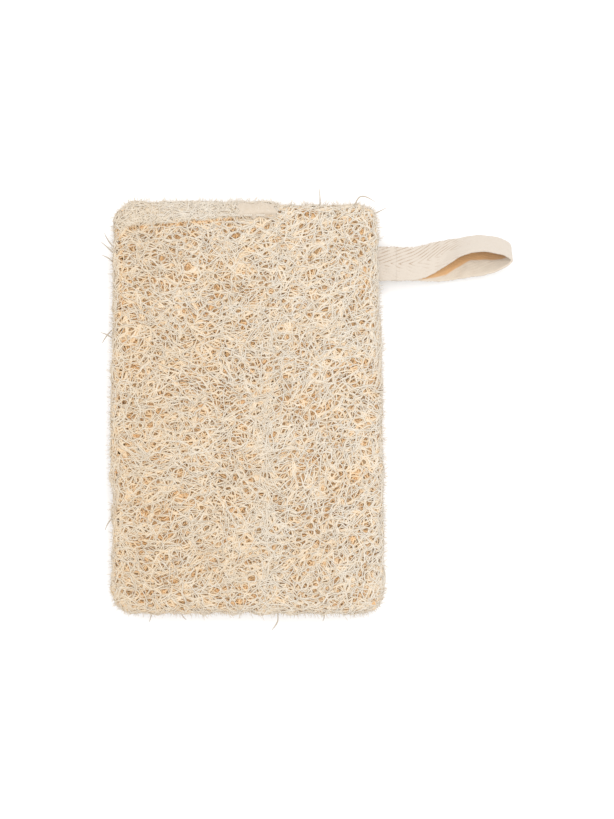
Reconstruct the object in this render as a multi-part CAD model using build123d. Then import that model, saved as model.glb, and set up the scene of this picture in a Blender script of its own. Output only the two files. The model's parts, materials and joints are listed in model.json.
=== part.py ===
from build123d import *
import math
import os

os.makedirs("parts", exist_ok=True)

# A bath scrubbing pad: two panels of flattened luffa over a luffa core, closed by a hem
# at one end, with a folded cotton tape sewn into one long side as a hanging loop.
# The pad lies flat. X runs across it, Y along it towards the hemmed end, and Z up
# through its thickness. The origin is the centre of the face that it rests on.

# ---- Driving dimensions, millimetres ----
PAD_LENGTH = 152.5
PAD_WIDTH_HEM_END = 96.5
PAD_WIDTH_FAR_END = 102.0
PAD_THICKNESS = 20.0
CORNER_RADIUS_HEM_END = 5.5
CORNER_RADIUS_FAR_END = 7.5
EDGE_ROUNDING = 5.0
PANEL_THICKNESS = 5.5
RIM_WIDTH = 6.0
THREAD_DIAMETER = 0.8
SEAM_INSET = 3.0
HEM_START = 1.6
HEM_LENGTH = 57.0
HEM_WIDTH = 7.0
HEM_RISE = 0.6
HEM_ROUNDING = 2.4
STITCH_LENGTH = 3.2
STITCH_PITCH = 4.6
STITCH_FROM_HEM_EDGE = 1.5
TAPE_WIDTH = 12.5
TAPE_THICKNESS = 0.9
TAPE_STACK_GAP = 0.1
TAPE_SEWN_IN = 12.0
LOOP_FROM_HEM_END = 21.85
LOOP_REACH = 48.8
NECK_LENGTH = 11.0
BARTACK_WIDTH = 9.0
BARTACK_INSETS = (4.6, 8.6)
BARTACK_DEPTH = 2.2
MOVING_GAP = 0.3
FLOOR_GAP = 0.4

# How the free loop lies: its legs twist towards the tip, part to leave an eye,
# drift sideways and sink from the seam to the resting plane. A run is the share of the
# reach over which a leg twists, sinks or drifts.
TIP_TWIST = 58.5
OUTER_TWIST_RUN = 0.57
INNER_TWIST_POWER = 1.2
SINK_RUN = 0.45
SIDE_DRIFT = 4.4
DRIFT_RUN = 0.7
EYE_SPREAD = 13.0
SPREAD_POWER = 1.4
TIP_POWER = 1.5
LOOP_SECTIONS = 36

# ---- Worked-out places ----
MID_HEIGHT = PAD_THICKNESS / 2
STACK_HALF = TAPE_THICKNESS + TAPE_STACK_GAP / 2
LAYER_OFFSET = (TAPE_THICKNESS + TAPE_STACK_GAP) / 2
LOOP_Y = PAD_LENGTH / 2 - LOOP_FROM_HEM_END
CORE_THICKNESS = PAD_THICKNESS - 2 * PANEL_THICKNESS


def half_width(y):
    """Half the pad's width at y: it narrows evenly towards the hemmed end."""
    share = 0.5 - y / PAD_LENGTH
    return (PAD_WIDTH_HEM_END + share * (PAD_WIDTH_FAR_END - PAD_WIDTH_HEM_END)) / 2


PAD_SIDE = max(half_width(LOOP_Y + TAPE_WIDTH / 2), half_width(LOOP_Y - TAPE_WIDTH / 2))
SWING_X = PAD_SIDE + MOVING_GAP + STACK_HALF
TWIST_X = SWING_X + NECK_LENGTH


def pad_outline(inset=0.0):
    """The pad's outline as a face, set in by inset all round."""
    end = PAD_LENGTH / 2 - inset
    top = half_width(end) - inset
    bottom = half_width(-end) - inset
    face = make_face(Polyline((-bottom, -end), (bottom, -end), (top, end), (-top, end), close=True))
    hem_corners = face.vertices().sort_by(Axis.Y)[-2:]
    face = fillet(hem_corners, max(CORNER_RADIUS_HEM_END - inset, THREAD_DIAMETER))
    far_corners = face.vertices().sort_by(Axis.Y)[:2]
    return fillet(far_corners, max(CORNER_RADIUS_FAR_END - inset, THREAD_DIAMETER))


def layer(inset, low, high):
    """A flat layer of the pad between two heights."""
    return Pos(0, 0, low) * extrude(pad_outline(inset), high - low)


def box_between(low, high):
    """A box between two corner points."""
    size = [b - a for a, b in zip(low, high)]
    return Pos(*low) * Box(*size, align=(Align.MIN, Align.MIN, Align.MIN))


def rod(start, end, diameter):
    """A straight length of thread between two points."""
    line = Line(start, end)
    return sweep(Plane(origin=start, z_dir=line % 0) * Circle(diameter / 2), path=line)


# ---- The pad ----
def pad_blank():
    """The whole pad as one solid, with its rims rounded."""
    blank = layer(0, 0, PAD_THICKNESS)
    rims = blank.edges().filter_by(lambda e: abs(e.center().Z - MID_HEIGHT) > MID_HEIGHT - 0.01)
    return fillet(rims, EDGE_ROUNDING)


def hem_bar():
    """The rolled hem that closes the pad, a bar let into the front edge of one end."""
    left = -half_width(PAD_LENGTH / 2) + HEM_START
    end = PAD_LENGTH / 2
    low = (left, end - HEM_WIDTH, PAD_THICKNESS - PANEL_THICKNESS)
    bar = box_between(low, (left + HEM_LENGTH, end, PAD_THICKNESS + HEM_RISE))
    return fillet(bar.edges().filter_by(Axis.X), HEM_ROUNDING)


def hem_stitches():
    """The row of stitches that holds the hem down, half sunk in it."""
    left = -half_width(PAD_LENGTH / 2) + HEM_START
    y = PAD_LENGTH / 2 - HEM_WIDTH + STITCH_FROM_HEM_EDGE + HEM_ROUNDING / 2
    z = PAD_THICKNESS + HEM_RISE
    count = int((HEM_LENGTH - STITCH_LENGTH) / STITCH_PITCH)
    first = left + (HEM_LENGTH - (count - 1) * STITCH_PITCH) / 2
    stitches = []
    for k in range(count):
        x = first + k * STITCH_PITCH
        half = STITCH_LENGTH / 2
        stitches.append(rod((x - half, y, z), (x + half, y, z), THREAD_DIAMETER))
    return stitches


def seam_ring():
    """The thread of the seam that joins the two panels, all round the pad."""
    path = Pos(0, 0, MID_HEIGHT) * pad_outline(SEAM_INSET).face().outer_wire()
    start = path @ 0
    section = Plane(origin=start, z_dir=path % 0) * Circle(THREAD_DIAMETER / 2)
    return sweep(section, path=path)


def tape_end(side):
    """One sewn-in end of the tape: side is 1 for the upper layer and -1 for the lower."""
    middle = MID_HEIGHT + side * LAYER_OFFSET
    outer = SWING_X - STACK_HALF - MOVING_GAP
    low = (outer - TAPE_SEWN_IN, LOOP_Y - TAPE_WIDTH / 2, middle - TAPE_THICKNESS / 2)
    high = (outer, LOOP_Y + TAPE_WIDTH / 2, middle + TAPE_THICKNESS / 2)
    return box_between(low, high)


def bartack_rows():
    """Two rows of stitching that hold the tape ends, above and below the tape."""
    rows = []
    half = BARTACK_WIDTH / 2
    for inset in BARTACK_INSETS:
        x = SWING_X - STACK_HALF - MOVING_GAP - inset
        top = MID_HEIGHT + BARTACK_DEPTH
        low = MID_HEIGHT - BARTACK_DEPTH
        row = rod((x, LOOP_Y - half, top), (x, LOOP_Y + half, top), THREAD_DIAMETER)
        row += rod((x, LOOP_Y - half, low), (x, LOOP_Y + half, low), THREAD_DIAMETER)
        for y in (LOOP_Y - half + THREAD_DIAMETER, LOOP_Y, LOOP_Y + half - THREAD_DIAMETER):
            row += rod((x, y, low), (x, y, top), THREAD_DIAMETER)
        rows.append(row)
    return rows


# ---- The loop ----
def neck_layer(side):
    """One tape layer of the neck, its end rounded about the swing axis."""
    middle = MID_HEIGHT + side * LAYER_OFFSET
    low = (SWING_X - STACK_HALF, LOOP_Y - TAPE_WIDTH / 2, middle - TAPE_THICKNESS / 2)
    high = (TWIST_X, LOOP_Y + TAPE_WIDTH / 2, middle + TAPE_THICKNESS / 2)
    strip = box_between(low, high)
    nose = Pos(SWING_X, LOOP_Y, MID_HEIGHT) * Rot(90, 0, 0) * Cylinder(STACK_HALF, TAPE_WIDTH)
    straight_low = (SWING_X, low[1], low[2])
    return strip & (nose + box_between(straight_low, high))


def ease(value):
    """A smooth step from 0 to 1."""
    t = min(max(value, 0.0), 1.0)
    return t * t * (3 - 2 * t)


def tape_point(s, across):
    """A point on the loop's middle surface. s runs from 1 at the neck on the outer leg, through 0
    at the tip, to -1 at the neck on the inner leg; across is the distance over the width."""
    along = 1 - abs(s) ** TIP_POWER
    reach = LOOP_REACH - NECK_LENGTH - MOVING_GAP
    if s > 0:
        twist = math.radians(TIP_TWIST) * ease(along / OUTER_TWIST_RUN)
    else:
        twist = math.radians(TIP_TWIST) * along ** INNER_TWIST_POWER
    low_edge = TAPE_THICKNESS / 2 + FLOOR_GAP
    sink = ease(along / SINK_RUN)
    edge_height = MID_HEIGHT + (low_edge - MID_HEIGHT) * sink
    x = TWIST_X + MOVING_GAP + reach * along
    y = LOOP_Y + SIDE_DRIFT * ease(along / DRIFT_RUN) + s * EYE_SPREAD * along ** SPREAD_POWER
    z = edge_height + TAPE_WIDTH / 2 * math.sin(twist) + s * LAYER_OFFSET
    return Vector(x, y + across * math.cos(twist), z - across * math.sin(twist))


def tape_section(s):
    """The tape's rectangular cross-section at s, square to its middle surface."""
    step = 0.001
    ahead = tape_point(max(s - step, -1), 0) - tape_point(min(s + step, 1), 0)
    width_way = (tape_point(s, 1) - tape_point(s, 0)).normalized()
    face_way = ahead.cross(width_way).normalized()
    corners = []
    for across, through in ((-1, -1), (1, -1), (1, 1), (-1, 1)):
        middle = tape_point(s, across * TAPE_WIDTH / 2)
        corners.append(middle + face_way * (through * TAPE_THICKNESS / 2))
    return Wire.make_polygon(corners)


def loop_tape():
    """The free loop, one strip of tape that runs out, turns at the tip and comes back."""
    sections = [tape_section(1 - 2 * k / LOOP_SECTIONS) for k in range(LOOP_SECTIONS + 1)]
    return Solid.make_loft(sections, ruled=True)


# ---- Fit the pieces together ----
blank = pad_blank()
core = layer(RIM_WIDTH, PANEL_THICKNESS, PANEL_THICKNESS + CORE_THICKNESS)
hem = hem_bar()
stitches = hem_stitches()
seam = seam_ring()
tape_ends = {side: tape_end(side) for side in (1, -1)}
bartacks = bartack_rows()
neck = [neck_layer(side) for side in (1, -1)]
loop = loop_tape()

upper_half = layer(-EDGE_ROUNDING, MID_HEIGHT, PAD_THICKNESS + EDGE_ROUNDING)
lower_half = layer(-EDGE_ROUNDING, -EDGE_ROUNDING, MID_HEIGHT)
threads = [seam, *bartacks]
front_panel = (blank & upper_half) - core - hem
back_panel = (blank & lower_half) - core
for piece in (*tape_ends.values(), *threads):
    front_panel = front_panel - piece
    back_panel = back_panel - piece
    core = core - piece
for thread in threads:
    tape_ends = {side: end - thread for side, end in tape_ends.items()}
for stitch in stitches:
    hem = hem - stitch

nodes = {
    "front_luffa_panel": front_panel,
    "back_luffa_panel": back_panel,
    "luffa_core": core,
    "closing_hem": hem,
    "hem_stitches": Compound(children=stitches),
    "seam_thread": seam,
    "tape_end_upper": tape_ends[1],
    "tape_end_lower": tape_ends[-1],
    "tape_bartacks": Compound(children=bartacks),
    "loop_neck": Compound(children=neck),
    "hanging_loop": loop,
}
for name, shape in nodes.items():
    export_step(shape, f"parts/{name}.step")
    print(name, len(shape.solids()), "solids", round(shape.volume, 1), "mm3")
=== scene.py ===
# %% [markdown]
# # A luffa scrubbing pad, cell by cell
# The pad is two panels of flattened luffa sewn over a luffa core, with a loop of cotton
# tape in one side. Luffa is an open web of plant fibre, so its look can't come from a
# bumpy box. Here the web is grown as thousands of thin curved tubes over a hidden core.
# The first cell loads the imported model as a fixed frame, and everything is placed by it.

# %% Load the frame
import json
import math
import bmesh
import bpy
import numpy as np
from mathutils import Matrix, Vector
from mathutils.kdtree import KDTree


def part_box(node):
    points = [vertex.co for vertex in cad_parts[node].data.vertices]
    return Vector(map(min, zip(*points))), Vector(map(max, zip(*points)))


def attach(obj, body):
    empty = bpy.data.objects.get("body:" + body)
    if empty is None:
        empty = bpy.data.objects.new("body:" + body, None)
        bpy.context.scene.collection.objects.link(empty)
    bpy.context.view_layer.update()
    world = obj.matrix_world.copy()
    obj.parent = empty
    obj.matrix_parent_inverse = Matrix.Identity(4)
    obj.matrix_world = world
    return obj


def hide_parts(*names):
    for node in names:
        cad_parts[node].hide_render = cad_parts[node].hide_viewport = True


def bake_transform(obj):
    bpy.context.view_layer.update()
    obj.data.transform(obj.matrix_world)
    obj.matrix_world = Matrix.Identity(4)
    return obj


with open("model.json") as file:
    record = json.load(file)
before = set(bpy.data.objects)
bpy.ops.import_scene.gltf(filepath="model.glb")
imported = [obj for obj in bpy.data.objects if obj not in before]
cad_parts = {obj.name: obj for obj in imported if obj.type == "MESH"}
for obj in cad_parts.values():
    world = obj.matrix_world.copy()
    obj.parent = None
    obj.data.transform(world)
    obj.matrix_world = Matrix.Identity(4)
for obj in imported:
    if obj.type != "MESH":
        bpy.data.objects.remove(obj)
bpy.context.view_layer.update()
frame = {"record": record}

MM = 0.001

# %% [markdown]
# The pad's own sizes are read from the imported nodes. Its outline narrows towards the
# hemmed end, so the half width is measured at two places on a long side and the rest
# follows on a straight line. All lengths below are in millimetres until a mesh is made.


# %% Measure the pad
def node_points(node):
    """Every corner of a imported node's mesh, in millimetres."""
    return np.array([v.co for v in bpy.data.objects[node].data.vertices]) / MM


panel_points = node_points("front_luffa_panel")
front_box, back_box = (np.array(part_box(f"{side}_luffa_panel")) / MM for side in ("front", "back"))
pad_low = np.minimum(front_box[0], back_box[0])
pad_high = front_box[1]
PAD_HALF_LENGTH = pad_high[1]
PAD_THICK = pad_high[2] - pad_low[2]
upper_side = panel_points[panel_points[:, 1] > 0]
lower_side = panel_points[panel_points[:, 1] < 0]
side_high = upper_side[upper_side[:, 0].argmax()]
side_low = lower_side[lower_side[:, 0].argmax()]
SIDE_SLOPE = (side_high[0] - side_low[0]) / (side_high[1] - side_low[1])


def half_width(y):
    """Half the pad's width at y."""
    return side_low[0] + SIDE_SLOPE * (y - side_low[1])


end_widths = [round(2 * half_width(y), 1) for y in (PAD_HALF_LENGTH, -PAD_HALF_LENGTH)]
print("widths at the hemmed end and the far end, mm:", end_widths)

# %% [markdown]
# The camera looks straight down on the pad, as the object is seen from above, and a
# long lens keeps the sides from showing. The floor is plain and nearly white. A large
# lamp overhead and a bright sky give soft light, and a small lamp near the hemmed end
# lets the loop's upper leg throw a soft shade on the lower one. The view's gamma is
# raised a little, which lifts the middle tones and keeps the holes of the web warm.

# %% The camera
VIEW_HEIGHT_MM = 303.8
LENS_MM = 120
SENSOR_MM = 36
VIEW_MIDDLE = (22.1, -0.1)
VIEW_FAR_MM = 10000

camera_data = bpy.data.cameras.new("studio_camera")
camera_data.lens = LENS_MM
camera_data.sensor_width = SENSOR_MM
camera_data.clip_end = VIEW_FAR_MM * MM
camera = bpy.data.objects.new("studio_camera", camera_data)
distance = VIEW_HEIGHT_MM * LENS_MM / SENSOR_MM
camera.location = (VIEW_MIDDLE[0] * MM, VIEW_MIDDLE[1] * MM, (distance + PAD_THICK) * MM)
bpy.context.scene.collection.objects.link(camera)
bpy.context.scene.camera = camera
print("camera distance, mm:", round(distance))

# %% Lamps and sky
SKY_STRENGTH = 1.05
SOFT_TONES = 1.25


def soft_lamp(name, place, size, power):
    """A square area lamp that looks at the pad."""
    data = bpy.data.lights.new(name, "AREA")
    data.size = size
    data.energy = power
    lamp = bpy.data.objects.new(name, data)
    lamp.location = place
    lamp.rotation_euler = (-Vector(place)).to_track_quat("-Z", "Y").to_euler()
    bpy.context.scene.collection.objects.link(lamp)
    print(name, power, "W,", size, "m wide")


soft_lamp("overhead_lamp", place=(0.05, 0.03, 1.7), size=0.9, power=14)
soft_lamp("hem_end_lamp", place=(0.2, 0.6, 1.35), size=0.3, power=4)

world = bpy.data.worlds.new("studio_sky")
world.use_nodes = True
world.node_tree.nodes["Background"].inputs["Color"].default_value = (1, 1, 1, 1)
world.node_tree.nodes["Background"].inputs["Strength"].default_value = SKY_STRENGTH
bpy.context.scene.world = world
bpy.context.scene.view_settings.view_transform = "Standard"
bpy.context.scene.view_settings.gamma = SOFT_TONES

# %% The floor
FLOOR_HALF_WIDTH = 3
FLOOR_GREY = 0.9


def mesh_piece(name, body):
    """Turn a finished bmesh into a mesh object of that name, and free the bmesh."""
    mesh = bpy.data.meshes.new(name)
    body.to_mesh(mesh)
    body.free()
    piece = bpy.data.objects.new(name, mesh)
    bpy.context.scene.collection.objects.link(piece)
    return piece


def new_look(name):
    """A new material with its node tree and its shader."""
    look = bpy.data.materials.new(name)
    look.use_nodes = True
    return look, look.node_tree, look.node_tree.nodes["Principled BSDF"]


floor_sheet = bmesh.new()
bmesh.ops.create_grid(floor_sheet, x_segments=2, y_segments=2, size=FLOOR_HALF_WIDTH)
floor = mesh_piece("studio_floor", floor_sheet)
floor_look, _, floor_shader = new_look("pale_floor")
floor_shader.inputs["Base Color"].default_value = (FLOOR_GREY, FLOOR_GREY, FLOOR_GREY, 1)
floor_shader.inputs["Roughness"].default_value = 0.9
floor.data.materials.append(floor_look)
print("floor width, m:", 2 * FLOOR_HALF_WIDTH)

# %% [markdown]
# Each finish is made of nodes. The luffa finish reads two values kept on the mesh: how
# deep a fibre lies, with painted shade added, and a tone of its own, with painted light
# added. Deep fibres are painted browner and darker, as painted shade for the light that
# reaches them filtered by the web above. A fine noise adds the streaks of a dry plant
# fibre. The streaks are shared by all the luffa finishes, so they are a node group that
# puts out a value, and the shader stays in each material.


# %% Node helpers
def link(tree, source, target):
    """Join an output socket to an input socket."""
    tree.links.new(source, target)


def plant_streak_group():
    """A group that puts out streaky values from 0 to 1 over a surface."""
    group = bpy.data.node_groups.new("plant_streaks", "ShaderNodeTree")
    group.interface.new_socket("Scale", in_out="INPUT", socket_type="NodeSocketFloat")
    group.interface.new_socket("Value", in_out="OUTPUT", socket_type="NodeSocketFloat")
    nodes = group.nodes
    entry = nodes.new("NodeGroupInput")
    leave = nodes.new("NodeGroupOutput")
    place = nodes.new("ShaderNodeTexCoord")
    noise = nodes.new("ShaderNodeTexNoise")
    noise.inputs["Detail"].default_value = 4
    noise.inputs["Roughness"].default_value = 0.65
    link(group, place.outputs["Object"], noise.inputs["Vector"])
    link(group, entry.outputs["Scale"], noise.inputs["Scale"])
    link(group, noise.outputs["Fac"], leave.inputs["Value"])
    return group


STREAKS = plant_streak_group()


def add_streaks(tree, scale):
    """Place the streak group in a material with its own scale."""
    node = tree.nodes.new("ShaderNodeGroup")
    node.node_tree = STREAKS
    node.inputs["Scale"].default_value = scale
    return node


def ramp(tree, stops):
    """A colour ramp from (position, colour) stops."""
    node = tree.nodes.new("ShaderNodeValToRGB")
    node.color_ramp.elements[0].position = stops[0][0]
    node.color_ramp.elements[0].color = (*stops[0][1], 1)
    node.color_ramp.elements[1].position = stops[-1][0]
    node.color_ramp.elements[1].color = (*stops[-1][1], 1)
    for position, colour in stops[1:-1]:
        extra = node.color_ramp.elements.new(position)
        extra.color = (*colour, 1)
    return node


def multiply(tree, first, second, factor=1.0):
    """Multiply two colours."""
    node = tree.nodes.new("ShaderNodeMix")
    node.data_type = "RGBA"
    node.blend_type = "MULTIPLY"
    node.inputs["Factor"].default_value = factor
    link(tree, first, node.inputs[6])
    link(tree, second, node.inputs[7])
    return node.outputs[2]


def ramp_of(tree, value, stops):
    """The colours that a value takes through a ramp."""
    node = ramp(tree, stops)
    link(tree, value, node.inputs["Fac"])
    return node.outputs["Color"]


def kept_value(tree, label):
    """The value that is kept on the mesh under a name."""
    node = tree.nodes.new("ShaderNodeAttribute")
    node.attribute_name = label
    return node.outputs["Fac"]


def add_bump(tree, height, strength):
    """Fine relief from a height, joined to the material's shader."""
    bump = tree.nodes.new("ShaderNodeBump")
    bump.inputs["Strength"].default_value = strength
    bump.inputs["Distance"].default_value = 0.1 * MM
    link(tree, height, bump.inputs["Height"])
    link(tree, bump.outputs["Normal"], tree.nodes["Principled BSDF"].inputs["Normal"])


print("shared node group:", STREAKS.name)

# %% [markdown]
# Dry luffa is ochre to nearly white, with a dull surface. One function makes its finish
# from three colour ramps that are multiplied: one of painted shade by depth, one by the
# fibre's own tone with its painted light, and one by streaks. The web, the loose ends and
# the stray hairs then differ only in the colours they are given, and so they stay a family.

# %% The luffa finishes
LUFFA_STREAK_SCALE = 900
WHITE = (1.0, 1.0, 1.0)


def luffa_finish(name, depth_shade_stops, ochre, pale):
    """Dry luffa fibre, with painted shade by depth and a tone with painted light, both kept on the mesh."""
    look, tree, shader = new_look(name)
    # Painted shade by depth, and the fibre's tone with its painted light.
    painted_depth_shade = ramp_of(tree, kept_value(tree, "fibre_depth_shade"), depth_shade_stops)
    tone_and_painted_light = ramp_of(tree, kept_value(tree, "fibre_tone_and_light"), [(0.0, ochre), (1.0, pale)])
    streaks = add_streaks(tree, LUFFA_STREAK_SCALE)
    by_streak = ramp_of(tree, streaks.outputs["Value"], [(0.3, (0.92, 0.89, 0.84)), (0.6, WHITE)])
    colour = multiply(tree, multiply(tree, painted_depth_shade, tone_and_painted_light), by_streak)
    link(tree, colour, shader.inputs["Base Color"])
    rough = tree.nodes.new("ShaderNodeMapRange")
    rough.inputs["To Min"].default_value = 0.65
    rough.inputs["To Max"].default_value = 0.9
    link(tree, streaks.outputs["Value"], rough.inputs["Value"])
    link(tree, rough.outputs["Result"], shader.inputs["Roughness"])
    add_bump(tree, streaks.outputs["Value"], 0.25)
    shader.inputs["Specular IOR Level"].default_value = 0.25
    print("finish:", name)
    return look


# Painted shade: deeper fibres are painted browner and darker, for the shade inside the web.
DEPTH_SHADE_COLOURS = [
    (0.0, (0.64, 0.575, 0.49)),
    (0.12, (0.67, 0.58, 0.465)),
    (0.27, (0.71, 0.55, 0.37)),
    (0.5, (0.77, 0.50, 0.26)),
    (1.0, (0.80, 0.44, 0.16)),
]
LUFFA_LOOK = luffa_finish("dry_luffa", DEPTH_SHADE_COLOURS, (0.93, 0.86, 0.75), (0.99, 1.0, 1.0))
HAIR_COLOURS = [(0.0, (0.70, 0.64, 0.56)), (1.0, (0.60, 0.50, 0.39))]
HAIR_LOOK = luffa_finish("loose_luffa_ends", HAIR_COLOURS, (0.9, 0.84, 0.76), WHITE)

# %% [markdown]
# Natural things vary slowly from place to place. One helper gives that everywhere: a
# sum of a few waves with random directions, made from a seed so it is the same each run.
# It is used for the unevenness of the skin, for the way the fibres run and for where the
# web is open or closed.


# %% A smooth random field
WAVES = 10


def wander(x, y, size, seed):
    """A smooth random field, mostly between -1 and 1, with bumps about size across."""
    rng = np.random.default_rng(seed)
    total = np.zeros(np.shape(x))
    for _ in range(WAVES):
        way = rng.uniform(0, 2 * math.pi)
        pitch = rng.uniform(0.7, 1.4) * 2 * math.pi / size
        shift = rng.uniform(0, 2 * math.pi)
        total = total + np.sin((x * math.cos(way) + y * math.sin(way)) * pitch + shift)
    return total / math.sqrt(WAVES)


def ease(value):
    """A smooth step from 0 to 1."""
    t = np.clip(value, 0, 1)
    return t * t * (3 - 2 * t)


print("the field at three places:", wander(np.array([0, 10, 20]), 0, 20, 1).round(2))

# %% [markdown]
# The skin of the pad has two large features. The closing hem is a rolled strip that
# stands a little proud, with a groove along its lower edge, and a second groove runs
# down beside the left edge, where the panel was folded in before it was sewn. Both are
# heights on the plan, so every fibre that is laid there follows them.

# %% The skin of the pad
hem_low, hem_high = (np.array(corner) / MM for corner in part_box("closing_hem"))
HEM_EDGE_LEFT = hem_low[1] - 2.0
HEM_EDGE_RIGHT = hem_low[1] + 3.2
HEM_HEIGHT = 0.9
HEM_SHOULDER = 1.4
HEM_GROOVE_DEPTH = 1.1
FOLD_GROOVE_DEPTH = 0.7
GROOVE_HALF_WIDTH = 0.5
FOLD_X = -47.0
FOLD_RUN = (29.0, 66.0)


def hem_window(x):
    """1 along the hem and 0 past its two ends."""
    return ease((x - hem_low[0]) / 3) * ease((hem_high[0] + 1 - x) / 2)


def above_hem_edge(x, y):
    """How far a place is above the lower edge of the hem."""
    share = (x - hem_low[0]) / (hem_high[0] - hem_low[0])
    return y - HEM_EDGE_LEFT - (HEM_EDGE_RIGHT - HEM_EDGE_LEFT) * share


def hem_rise(x, y):
    """The height of the rolled hem over the skin."""
    return HEM_HEIGHT * hem_window(x) * ease(above_hem_edge(x, y) / HEM_SHOULDER)


def groove(x, y):
    """The depth of the grooves beside the hem and beside the folded edge."""
    uneven = np.clip(0.75 + 0.45 * wander(x, 0 * y, 9, 4), 0.1, 1.2)
    beside_hem = np.exp(-((above_hem_edge(x, y) + 0.3) / GROOVE_HALF_WIDTH) ** 2)
    hem_groove = HEM_GROOVE_DEPTH * uneven * hem_window(x) * beside_hem
    in_run = ease((y - FOLD_RUN[0]) / 6) * ease((FOLD_RUN[1] - y) / 4)
    beside_fold = np.exp(-((x - FOLD_X) / GROOVE_HALF_WIDTH) ** 2)
    return hem_groove + FOLD_GROOVE_DEPTH * in_run * beside_fold


def swell(x, y):
    """The gentle unevenness of a pressed natural sponge."""
    return 0.3 * wander(x, y, 60, 1) + 0.22 * wander(x, y, 17, 2)


print("lower edge of the hem, mm:", round(HEM_EDGE_LEFT, 1), "left,", round(HEM_EDGE_RIGHT, 1), "right")

# %% [markdown]
# A fibre is planned on a flat plan and then laid over the pad. The lay_on_pad function
# wraps the plan over the pad like paper over a box with round edges: inside the outline
# it is flat, then it turns over the edge and runs down the side. Fibres that cross the
# edge of the plan then bend over the pad's edge by themselves, as on the real pad. The
# long sides are a little fuller than the sewn outline, most of all on the left, and no
# fibre goes under the height at which the pad rests.

# %% Lay a plan over the pad
EDGE_ROUND = 5.5
CORNER_ROUND_HEM_END = 1.6
CORNER_ROUND_FAR_END = 4.2
SIDE_DROP = EDGE_ROUND * math.pi / 2 + PAD_THICK / 2 - EDGE_ROUND
SKIRT = SIDE_DROP - EDGE_ROUND - 0.4
RESTING_HEIGHT = 0.55
LEFT_FULLNESS = 1.4
RIGHT_FULLNESS = 0.5


def side_fullness(x, y):
    """How far the fibres swell out of each long side: most on the left, towards the hem."""
    left = LEFT_FULLNESS * ease((y + 35) / 20)
    right = RIGHT_FULLNESS * ease((40 - np.abs(y)) / 15)
    return np.where(x < 0, left, right)


def lay_on_pad(x, y, depth, face):
    """Lay plan points over the front (face 1) or back (face -1) at a depth under the skin."""
    corner_round = np.where(y > 0, CORNER_ROUND_HEM_END, CORNER_ROUND_FAR_END)
    out_x = np.maximum(np.abs(x) - half_width(y) + EDGE_ROUND + corner_round, 0)
    out_y = np.maximum(np.abs(y) - PAD_HALF_LENGTH + EDGE_ROUND + corner_round, 0)
    reach = np.hypot(out_x, out_y)
    past = np.maximum(reach - corner_round, 0)
    away_x = np.sign(x) * out_x / np.maximum(reach, 1e-6)
    away_y = np.sign(y) * out_y / np.maximum(reach, 1e-6)
    turn = np.minimum(past / EDGE_ROUND, math.pi / 2)
    drop = np.maximum(past - EDGE_ROUND * math.pi / 2, 0)
    outward = EDGE_ROUND * np.sin(turn)
    height = PAD_THICK - EDGE_ROUND * (1 - np.cos(turn)) - drop
    fullness = 0.35 * wander(x, y, 9, 3) + side_fullness(x, y) * np.abs(away_x)
    side_swell = np.sin(turn) * fullness
    lift = swell(x, y) * np.cos(turn) + side_swell - depth
    if face > 0:
        lift = lift + hem_rise(x, y) - groove(x, y)
    px = x - away_x * past + away_x * (outward + np.sin(turn) * lift)
    py = y - away_y * past + away_y * (outward + np.sin(turn) * lift)
    pz = np.maximum(height + np.cos(turn) * lift, RESTING_HEIGHT)
    if face < 0:
        pz = np.maximum(PAD_THICK - pz, RESTING_HEIGHT)
    return np.stack([px, py, pz], axis=-1)


print("unrolled side, mm:", round(SIDE_DROP, 1))

# %% [markdown]
# Fibres don't lie at random. On this pad they run across in gentle arcs on one half and
# climb to the right on the other, they stand upright along the left edge, and two faint
# ribs mark where the inner walls of the gourd met the sheet. A heading field gives each
# place its main direction.

# %% The heading field
RIB_X = 7.6
RIB_TOP = 34.0
CLIMB = 0.75
UPRIGHT = 1.35


def main_heading(x, y):
    """The main direction of the fibres at a place on the plan, in radians."""
    sweep = 0.45 * wander(x, y, 42, 11) + 0.35 * wander(x, y, 15, 12)
    rise = CLIMB / (1 + np.exp(-(x - 12) / 6))
    upright = UPRIGHT / (1 + np.exp((x - FOLD_X) / 1.0))
    return sweep + rise + upright


def near_rib(x, y):
    """1 on the middle rib and 0 away from it."""
    return np.exp(-((x - RIB_X) / 1.6) ** 2) * ease((RIB_TOP - y) / 5)


print("headings at the middle height, degrees:", np.degrees(main_heading(np.array([-50, 0, 40]), 0)).round())

# %% [markdown]
# Luffa is a net of joined fibres, and what the eye reads first is its holes: small, round
# or oval, and brown inside. Random fibres alone never leave such holes. So the holes are
# placed first, more of them where the web is open, and each fibre near one is pushed
# out round it. Fibres then crowd between the holes, as the walls of the real net do.

# %% The holes of the net
HOLE_SPACING = 2.3
HOLE_ROW_SHARE = 0.87
HOLE_JITTER = 0.25 * HOLE_SPACING
HOLE_RADIUS = 0.56
HOLE_RADIUS_LIMITS = (0.25, 1.1)
HEM_HOLE_RADIUS = 0.8
OPENNESS = 0.64
HEM_HOLES = [(x, 72.0 + 0.05 * (x - 19)) for x in range(19, 37, 3)]


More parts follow.
